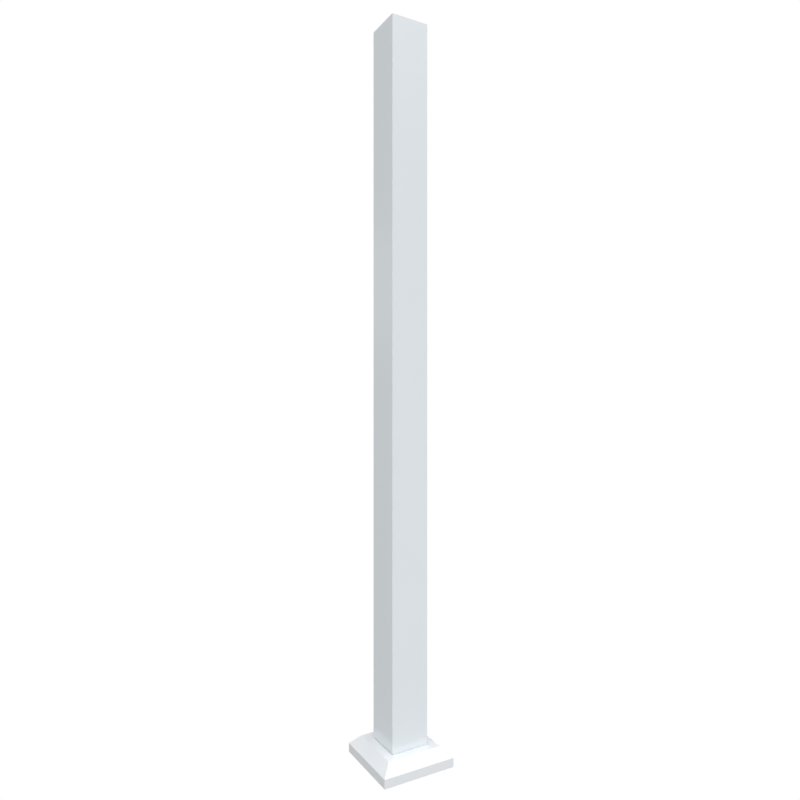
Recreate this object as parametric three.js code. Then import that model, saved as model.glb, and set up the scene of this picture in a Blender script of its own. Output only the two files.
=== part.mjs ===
// A square newel post for a deck or stair railing: a white coated aluminium tube, cut square at both
// ends, that stands on the floor inside a bevelled base skirt.
// Millimetres, +Z up. The origin is on the floor, on the post's centre line.

import * as THREE from "three";

// The post is an extruded square tube, open at both ends.
const POST_WIDTH = 50.8;
const POST_HEIGHT = 940;
const POST_WALL = 2.5;
const POST_CORNER_RADIUS = 0.4;
const POST_BORE_RADIUS = 0.5;
const POST_LENGTHS = 8; // flat lengths that each side is divided into, so that a bracket has its own face

// The skirt is a thin cover, open underneath, that drops over the post and rests on the floor.
const SKIRT_WIDTH = 98.8;
const SKIRT_BAND = 11.5; // height of the upright band round the foot
const SKIRT_BEVEL = 12.4; // rise, and run, of the slope above the band
const SKIRT_WALL = 2.5;
const SKIRT_CLEARANCE = 0.4; // gap to the post on each side
const SKIRT_EDGE_RADIUS = 0.8; // softening of the edges that show

const ARC_STEPS = 2; // how finely the rounded corners are divided

// What follows from the driving sizes
const SKIRT_HEIGHT = SKIRT_BAND + SKIRT_BEVEL;
const SKIRT_LEDGE_WIDTH = SKIRT_WIDTH - 2 * SKIRT_BEVEL;
const SKIRT_HOLE_WIDTH = POST_WIDTH + 2 * SKIRT_CLEARANCE;
const HALF_BEVEL_ANGLE = Math.PI / 8;

const coatedAluminium = {
  post: new THREE.MeshStandardMaterial({ color: 0xe6edf0, roughness: 0.42, metalness: 0 }),
  skirt: new THREE.MeshStandardMaterial({ color: 0xe9eff1, roughness: 0.48, metalness: 0 }),
};

// A square centred on the origin, with round corners.
function roundedSquare(path, width, radius) {
  const flat = width / 2 - radius;
  for (let quarter = 0; quarter < 4; quarter += 1) {
    const start = (quarter * Math.PI) / 2;
    const middle = start + Math.PI / 4;
    const centreX = Math.sign(Math.cos(middle)) * flat;
    const centreY = Math.sign(Math.sin(middle)) * flat;
    path.absarc(centreX, centreY, radius, start, start + Math.PI / 2, false);
  }
  path.closePath();
  return path;
}

// The post: its section with the bore left open, drawn out to the full height.
function postTube() {
  const section = roundedSquare(new THREE.Shape(), POST_WIDTH, POST_CORNER_RADIUS);
  const boreWidth = POST_WIDTH - 2 * POST_WALL;
  section.holes.push(roundedSquare(new THREE.Path(), boreWidth, POST_BORE_RADIUS));
  return new THREE.ExtrudeGeometry(section, {
    depth: POST_HEIGHT,
    steps: POST_LENGTHS,
    curveSegments: ARC_STEPS,
    bevelEnabled: false,
  });
}

// A closed outline through the corners, with those that have a radius rounded off.
function softenedOutline(corners) {
  const count = corners.length;
  const outline = new THREE.Path();
  corners.forEach(({ at, radius = 0 }, i) => {
    const before = corners[(i + count - 1) % count].at;
    const after = corners[(i + 1) % count].at;
    const into = at.clone().add(before.clone().sub(at).setLength(radius));
    const out = at.clone().add(after.clone().sub(at).setLength(radius));
    if (i === 0) outline.moveTo(into.x, into.y);
    else outline.lineTo(into.x, into.y);
    if (radius > 0) outline.quadraticCurveTo(at.x, at.y, out.x, out.y);
  });
  outline.closePath();
  return outline.getPoints(ARC_STEPS);
}

// The skirt's wall in section, as half widths and heights. The inside follows the outside one wall
// thickness in, so its corners step in by the tangent of half the bevel's angle.
function skirtSection() {
  const corner = (halfWidth, height, radius) => ({ at: new THREE.Vector2(halfWidth, height), radius });
  const stepIn = SKIRT_WALL * Math.tan(HALF_BEVEL_ANGLE);
  return softenedOutline([
    corner(SKIRT_WIDTH / 2, 0),
    corner(SKIRT_WIDTH / 2, SKIRT_BAND, SKIRT_EDGE_RADIUS),
    corner(SKIRT_LEDGE_WIDTH / 2, SKIRT_HEIGHT, SKIRT_EDGE_RADIUS),
    corner(SKIRT_HOLE_WIDTH / 2, SKIRT_HEIGHT, SKIRT_EDGE_RADIUS / 2),
    corner(SKIRT_HOLE_WIDTH / 2, SKIRT_HEIGHT - SKIRT_WALL),
    corner(SKIRT_LEDGE_WIDTH / 2 - stepIn, SKIRT_HEIGHT - SKIRT_WALL),
    corner(SKIRT_WIDTH / 2 - SKIRT_WALL, SKIRT_BAND - stepIn),
    corner(SKIRT_WIDTH / 2 - SKIRT_WALL, 0),
  ]);
}

// The skirt: its section carried round four sides, with mitred corners.
function baseSkirt() {
  const atCorners = skirtSection().map((p) => new THREE.Vector2(p.x * Math.SQRT2, p.y));
  return new THREE.LatheGeometry(atCorners, 4, Math.PI / 4).rotateX(Math.PI / 2);
}

function piece(name, geometry, material) {
  const mesh = new THREE.Mesh(geometry, material);
  mesh.name = name;
  return mesh;
}

const newelPost = new THREE.Group();
newelPost.add(piece("post", postTube(), coatedAluminium.post));
newelPost.add(piece("base_skirt", baseSkirt(), coatedAluminium.skirt));

export default newelPost;
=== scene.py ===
# A square newel post for a deck or stair railing: a white powder coated aluminium tube, cut square at
# the top, standing on the floor inside a low bevelled skirt. Metres, +Z up, with the origin on the
# floor, on the post's centre line.

import math

import bmesh
import bpy
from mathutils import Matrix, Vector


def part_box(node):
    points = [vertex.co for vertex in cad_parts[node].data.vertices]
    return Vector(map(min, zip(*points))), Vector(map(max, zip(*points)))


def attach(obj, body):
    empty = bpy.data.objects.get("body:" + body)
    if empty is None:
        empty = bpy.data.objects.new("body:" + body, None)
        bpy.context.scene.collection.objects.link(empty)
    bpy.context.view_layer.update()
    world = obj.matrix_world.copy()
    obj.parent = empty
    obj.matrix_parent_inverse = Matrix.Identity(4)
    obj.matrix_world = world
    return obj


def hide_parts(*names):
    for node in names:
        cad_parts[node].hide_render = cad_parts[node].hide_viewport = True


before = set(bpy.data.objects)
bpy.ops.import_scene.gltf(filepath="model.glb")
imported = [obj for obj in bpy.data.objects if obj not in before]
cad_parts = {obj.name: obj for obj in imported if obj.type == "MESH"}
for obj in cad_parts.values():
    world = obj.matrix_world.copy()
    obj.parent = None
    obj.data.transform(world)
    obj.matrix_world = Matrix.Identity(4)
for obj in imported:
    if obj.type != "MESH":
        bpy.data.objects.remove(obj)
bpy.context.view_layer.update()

# The post.
# It is a square aluminium tube, extruded in one length, sawn square at both ends and deburred, then
# powder coated satin white. It stands on the floor by its own weight.
MM = 0.001
post_top_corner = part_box("post")[1]
POST_HALF = post_top_corner.x
POST_HEIGHT = post_top_corner.z
POST_WALL = 2.5 * MM
POST_CORNER_RADIUS = 0.4 * MM
BORE_HALF = POST_HALF - POST_WALL
BORE_CORNER_RADIUS = 0.5 * MM
DEBURRED_EDGE = 0.3 * MM
FLATS_WEIGHT = 100


def rounded_square(half, radius, steps=8):
    """Points anticlockwise round a square that has round corners."""
    points = []
    for quarter in range(4):
        middle = math.radians(90 * quarter + 45)
        centre_x = math.copysign(half - radius, math.cos(middle))
        centre_y = math.copysign(half - radius, math.sin(middle))
        for step in range(steps + 1):
            angle = math.radians(90 * (quarter + step / steps))
            points.append((centre_x + radius * math.cos(angle), centre_y + radius * math.sin(angle)))
    return points


def softened_wall(corners, steps=5):
    """A wall's section with its edges rounded off, as half widths, heights and plan radii.

    Each corner is a half width, a height, the radius of its edge and the radius of the piece in plan.
    A point of the section is held as a complex number, so that a turn is a product.
    """
    stations = []
    for i, (half, height, edge, plan) in enumerate(corners):
        corner = complex(half, height)
        back = complex(*corners[i - 1][:2]) - corner
        ahead = complex(*corners[(i + 1) % len(corners)][:2]) - corner
        back /= abs(back)
        ahead /= abs(ahead)
        inward = (back + ahead) / abs(back + ahead)
        half_angle = math.acos(abs(back + ahead) / 2)
        centre = corner + inward * edge / math.sin(half_angle)
        start = corner + back * edge / math.tan(half_angle) - centre
        end = corner + ahead * edge / math.tan(half_angle) - centre
        for step in range(steps + 1):
            point = centre + start * (end / start) ** (step / steps)
            stations.append((point.real, point.imag, plan))
    return stations


def square_wall(name, corners):
    """A closed wall that runs round four sides, from its section's corners, and shades flat on them."""
    work = bmesh.new()
    rings = []
    for half, height, plan in softened_wall(corners):
        rings.append([work.verts.new((x, y, height)) for x, y in rounded_square(half, plan)])
    for ring, following in zip(rings, rings[1:] + rings[:1]):
        for i in range(len(ring)):
            work.faces.new((ring[i - 1], ring[i], following[i], following[i - 1]))
    for face in work.faces:
        face.smooth = True
    mesh = bpy.data.meshes.new(name)
    work.to_mesh(mesh)
    work.free()
    piece = bpy.data.objects.new(name, mesh)
    bpy.context.scene.collection.objects.link(piece)
    flats = piece.modifiers.new("flat_sides", "WEIGHTED_NORMAL")
    flats.mode = "FACE_AREA"
    flats.weight = FLATS_WEIGHT
    return piece


class Field:
    """A value, colour or direction that changes over a surface, written as an expression."""

    def __init__(self, tree, socket=None):
        self.tree = tree
        self.socket = socket

    def node(self, kind, settings, inputs, output=0):
        """The output of a new node, after its settings and then its inputs are set."""
        made = self.tree.nodes.new(kind)
        for name, value in settings.items():
            setattr(made, name, value)
        for name, value in inputs.items():
            if isinstance(value, Field):
                self.tree.links.new(value.socket, made.inputs[name])
            else:
                made.inputs[name].default_value = value
        return Field(self.tree, made.outputs[output])

    def maths(self, operation, *values):
        return self.node("ShaderNodeMath", {"operation": operation}, dict(enumerate(values)))

    def __add__(self, other):
        return self.maths("ADD", self, other)

    def __sub__(self, other):
        return self.maths("SUBTRACT", self, other)

    def __mul__(self, other):
        return self.maths("MULTIPLY", self, other)

    __radd__ = __add__
    __rmul__ = __mul__

    def __rsub__(self, other):
        return self.maths("SUBTRACT", other, self)

    def __abs__(self):
        return self.maths("ABSOLUTE", self)

    def larger(self, other):
        return self.maths("MAXIMUM", self, other)

    def smaller(self, other):
        return self.maths("MINIMUM", self, other)

    def above(self, limit):
        return self.maths("GREATER_THAN", self, limit)

    def below(self, limit):
        return self.maths("LESS_THAN", self, limit)

    def parts(self):
        """The X, Y and Z of a direction or place."""
        return [self.node("ShaderNodeSeparateXYZ", {}, {0: self}, axis) for axis in "XYZ"]

    def stretched(self, factors):
        return self.node("ShaderNodeVectorMath", {"operation": "MULTIPLY"}, {0: self, 1: factors})

    def along(self, direction):
        """How far a direction points along another one."""
        inputs = {0: self, 1: direction}
        return self.node("ShaderNodeVectorMath", {"operation": "DOT_PRODUCT"}, inputs, "Value")

    def noise(self, size, detail=2.0):
        """Soft random patches about as wide as size, from 0 to 1."""
        inputs = {"Vector": self, "Scale": 1 / size, "Detail": detail}
        return self.node("ShaderNodeTexNoise", {}, inputs)

    def rise(self, start, end):
        """0 up to start, 1 from end, and a smooth step between."""
        inputs = {"Value": self, "From Min": start, "From Max": end}
        return self.node("ShaderNodeMapRange", {"interpolation_type": "SMOOTHSTEP"}, inputs)

    def colour(self, low, high):
        """The mix of two colours that this value gives."""
        first, second, result = 6, 7, 2  # a Mix node's sockets for colours
        return self.node("ShaderNodeMix", {"data_type": "RGBA"}, {0: self, first: low, second: high}, result)


def new_finish(name):
    """A material with one surface shader, that shader, and the place on the piece as a field."""
    material = bpy.data.materials.new(name)
    material.use_nodes = True
    tree = material.node_tree
    shader = tree.nodes["Principled BSDF"]
    place = Field(tree).node("ShaderNodeTexCoord", {}, {}, "Object")
    return material, shader, place


def feed(shader, **fields):
    """Links fields to the shader's inputs, with _ for the spaces in their names."""
    for name, field in fields.items():
        field.tree.links.new(field.socket, shader.inputs[name.replace("_", " ")])


POST_WHITE = (0.82, 0.872, 0.902, 1)
POST_SHADE = (0.80, 0.852, 0.884, 1)
COAT_PATCH = 90 * MM
COAT_PEEL = 2.4 * MM
PEEL_DETAIL = 1.0
PEEL_HEIGHT = 0.012 * MM
COAT_ROUGHNESS = 0.15
PATCH_ROUGHNESS = 0.06
PEEL_ROUGHNESS = 0.04


def powder_coat(place, shade, white):
    """Colour, roughness and relief of satin powder coat: faint patches and orange peel."""
    patches = place.noise(COAT_PATCH)
    peel = place.noise(COAT_PEEL, PEEL_DETAIL)
    colour = patches.colour(shade, white)
    roughness = COAT_ROUGHNESS + PATCH_ROUGHNESS * patches + PEEL_ROUGHNESS * peel
    return colour, roughness, peel


def relief(height, depth):
    """A surface direction that shows height, where its full range stands depth proud."""
    inputs = {"Strength": 1.0, "Distance": depth, "Height": height}
    return height.node("ShaderNodeBump", {}, inputs)


BARE_METAL = (0.74, 0.745, 0.75, 1)
METAL_ROUGHNESS = 0.28
DIE_LINE = 0.7 * MM
DIE_LINE_DRAWN = (1, 1, 0.004)
DIE_LINE_ROUGHNESS = 0.2
DIE_LINE_UNDER_COAT = 0.15
DIE_LINE_BARE = 0.5
OVERSPRAY_START = 20 * MM
OVERSPRAY_END = 140 * MM


def post_finish():
    """Powder coat outside, which thins out to drawn metal a little way into the bore from each end."""
    material, shader, place = new_finish("post_powder_coat")
    coat, roughness, peel = powder_coat(place, POST_SHADE, POST_WHITE)
    across, deep, height = place.parts()
    in_bore = abs(across).larger(abs(deep)).below(BORE_HALF + DEBURRED_EDGE / 2)
    from_end = height.smaller(POST_HEIGHT - height)
    bare = in_bore * from_end.rise(OVERSPRAY_START, OVERSPRAY_END)
    lines = place.stretched(DIE_LINE_DRAWN).noise(DIE_LINE)
    metal_roughness = METAL_ROUGHNESS + DIE_LINE_ROUGHNESS * lines
    line_relief = lines * (DIE_LINE_UNDER_COAT + DIE_LINE_BARE * bare)
    feed(
        shader,
        Base_Color=bare.colour(coat, BARE_METAL),
        Metallic=bare,
        Roughness=roughness * (1 - bare) + metal_roughness * bare,
        Normal=relief(peel * (1 - bare) + line_relief, PEEL_HEIGHT),
    )
    return material


post = square_wall(
    "post_tube",
    [
        (POST_HALF, 0, DEBURRED_EDGE, POST_CORNER_RADIUS),
        (POST_HALF, POST_HEIGHT, DEBURRED_EDGE, POST_CORNER_RADIUS),
        (BORE_HALF, POST_HEIGHT, DEBURRED_EDGE, BORE_CORNER_RADIUS),
        (BORE_HALF, 0, DEBURRED_EDGE, BORE_CORNER_RADIUS),
    ],
)
post.data.materials.append(post_finish())
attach(post, "root")
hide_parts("post")

# The base skirt.
# It is a thin aluminium casting in one piece, open underneath, with an upright band, a 45 degree bevel
# and a flat ledge with a square hole. It is coated like the post, drops over it and rests on the floor.
skirt_top_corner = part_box("base_skirt")[1]
SKIRT_HALF = skirt_top_corner.x
SKIRT_HEIGHT = skirt_top_corner.z
SKIRT_BAND = 11.5 * MM
SKIRT_WALL = 2.5 * MM
SKIRT_CLEARANCE = 0.4 * MM
SKIRT_EDGE = 0.8 * MM
SKIRT_CORNER_RADIUS = 0.4 * MM
HOLE_EDGE = 0.4 * MM
FOOT_EDGE = 0.3 * MM
BEVEL_ANGLE = math.radians(45)
LEDGE_HALF = SKIRT_HALF - (SKIRT_HEIGHT - SKIRT_BAND)
HOLE_HALF = POST_HALF + SKIRT_CLEARANCE
INNER_STEP = SKIRT_WALL * math.tan(BEVEL_ANGLE / 2)
SKIRT_WHITE = (0.838, 0.872, 0.902, 1)
SKIRT_SHADE = (0.818, 0.852, 0.884, 1)
SAND_GRAIN = 0.9 * MM
SAND_DETAIL = 3.0
SAND_RELIEF = 6
THIN_COAT = 0.35
THIN_COAT_ON_SAND = 0.4
INSIDE_ROUGHNESS = 0.3


def skirt_finish():
    """The same powder coat, thinner and rougher over the cast inside of the skirt."""
    material, shader, place = new_finish("skirt_powder_coat")
    coat, roughness, peel = powder_coat(place, SKIRT_SHADE, SKIRT_WHITE)
    across, deep, height = place.parts()
    from_axis = abs(across).larger(abs(deep))
    past_ledge = (from_axis - LEDGE_HALF).larger(0)
    under_top = SKIRT_HEIGHT - past_ledge - height
    inside = under_top.above(SKIRT_WALL / 2) * from_axis.below(SKIRT_HALF - SKIRT_WALL / 2)
    sand = place.noise(SAND_GRAIN, SAND_DETAIL)
    thin = inside * (THIN_COAT + THIN_COAT_ON_SAND * sand)
    feed(
        shader,
        Base_Color=thin.colour(coat, BARE_METAL),
        Roughness=roughness + INSIDE_ROUGHNESS * inside,
        Normal=relief(peel * (1 - inside) + SAND_RELIEF * sand * inside, PEEL_HEIGHT),
    )
    return material


skirt = square_wall(
    "skirt_cover",
    [
        (SKIRT_HALF, 0, FOOT_EDGE, SKIRT_CORNER_RADIUS),
        (SKIRT_HALF, SKIRT_BAND, SKIRT_EDGE, SKIRT_CORNER_RADIUS),
        (LEDGE_HALF, SKIRT_HEIGHT, SKIRT_EDGE, SKIRT_CORNER_RADIUS),
        (HOLE_HALF, SKIRT_HEIGHT, HOLE_EDGE, SKIRT_CORNER_RADIUS),
        (HOLE_HALF, SKIRT_HEIGHT - SKIRT_WALL, FOOT_EDGE, SKIRT_CORNER_RADIUS),
        (LEDGE_HALF - INNER_STEP, SKIRT_HEIGHT - SKIRT_WALL, SKIRT_EDGE, SKIRT_CORNER_RADIUS),
        (SKIRT_HALF - SKIRT_WALL, SKIRT_BAND - INNER_STEP, SKIRT_EDGE, SKIRT_CORNER_RADIUS),
        (SKIRT_HALF - SKIRT_WALL, 0, FOOT_EDGE, SKIRT_CORNER_RADIUS),
    ],
)
skirt.data.materials.append(skirt_finish())
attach(skirt, "root")
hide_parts("base_skirt")

# The floor.
# It is a wide plain sheet of white plastic lit evenly from below, as a light table is, so the skirt
# throws no shadow on it. Other light passes it by, so the sky below it lights the post's sides.
FLOOR_HALF = 60.0
FLOOR_GLOW = 1.01
LAMP_WHITE = (1, 1, 1, 1)
NO_COLOUR = (0, 0, 0, 1)

floor_mesh = bpy.data.meshes.new("floor")
floor_corners = [(x * FLOOR_HALF, y * FLOOR_HALF, 0) for x, y in ((-1, -1), (1, -1), (1, 1), (-1, 1))]
floor_mesh.from_pydata(floor_corners, [], [(0, 1, 2, 3)])
floor = bpy.data.objects.new("floor", floor_mesh)
bpy.context.scene.collection.objects.link(floor)
floor_finish, floor_shader, _ = new_finish("light_table")
floor_shader.inputs["Base Color"].default_value = NO_COLOUR
floor_shader.inputs["Specular IOR Level"].default_value = 0
floor_shader.inputs["Emission Color"].default_value = LAMP_WHITE
floor_shader.inputs["Emission Strength"].default_value = FLOOR_GLOW
floor_mesh.materials.append(floor_finish)
floor.visible_diffuse = False
floor.visible_glossy = False
floor.visible_shadow = False

# The studio light.
# It is a soft grey surround with a wide soft box overhead, a low strip behind that the left side mirrors
# faintly, and a fill behind for the far sides. Past the floor, the camera sees the floor's white.
SURROUND_LEVEL = 0.439
SURROUND_LEAN = (-0.218, -0.266, 0.133)
SOFT_BOX_TOWARDS = (0.08, -0.32, 0.944)
SOFT_BOX_EDGE = (53, 35)
SOFT_BOX_GLOW = 1.33
STRIP_TOWARDS = (-0.5, 0.866, 0)
STRIP_END = (40, 25)
STRIP_FOOT = (4, 6)
STRIP_TOP = (13, 15.5)
STRIP_GLOW = 0.35
FILL_TOWARDS = (0.6, 0.68, -0.42)
FILL_EDGE = (45, 15)
FILL_GLOW = 1.15

world = bpy.data.worlds.new("studio")
world.use_nodes = True
bpy.context.scene.world = world
sky_tree = world.node_tree
sky = Field(sky_tree).node("ShaderNodeTexCoord", {}, {}, "Generated")
sky_height = sky.parts()[2]


def patch(towards, edge):
    """1 in a round patch of sky, falling to 0 over its edge, in degrees from its middle."""
    outer, inner = (math.cos(math.radians(angle)) for angle in edge)
    return sky.along(towards).rise(outer, inner)


def over(edge):
    """1 over a level line round the sky, rising from 0 across its edge, in degrees up."""
    lower, upper = (math.sin(math.radians(angle)) for angle in edge)
    return sky_height.rise(lower, upper)


surround = SURROUND_LEVEL + sky.along(SURROUND_LEAN)
soft_box = SOFT_BOX_GLOW * patch(SOFT_BOX_TOWARDS, SOFT_BOX_EDGE)
strip = STRIP_GLOW * over(STRIP_FOOT) * (1 - over(STRIP_TOP)) * patch(STRIP_TOWARDS, STRIP_END)
fill = FILL_GLOW * patch(FILL_TOWARDS, FILL_EDGE)
seen = sky.node("ShaderNodeLightPath", {}, {}, "Is Camera Ray")
brightness = seen * FLOOR_GLOW + (1 - seen) * (surround + soft_box + strip + fill)
background = sky_tree.nodes["Background"]
background.inputs["Color"].default_value = LAMP_WHITE
feed(background, Strength=brightness)
bpy.context.scene.view_settings.view_transform = "Standard"

# The camera.
# It stands level at mid height, turned thirty degrees from the front, and sees two sides of the post.
CAMERA_PLACE = (-425.7 * MM, -741.3 * MM, 462.0 * MM)
CAMERA_LEVEL = 90
CAMERA_TURN = 29.86
CAMERA_LENS = 29.90
CAMERA_NEAR = 10 * MM
CAMERA_FAR = 500

camera_data = bpy.data.cameras.new("camera")
camera_data.lens = CAMERA_LENS
camera_data.clip_start = CAMERA_NEAR
camera_data.clip_end = CAMERA_FAR
camera = bpy.data.objects.new("camera", camera_data)
camera.location = CAMERA_PLACE
camera.rotation_euler = (math.radians(CAMERA_LEVEL), 0, math.radians(-CAMERA_TURN))
bpy.context.scene.collection.objects.link(camera)
bpy.context.scene.camera = camera
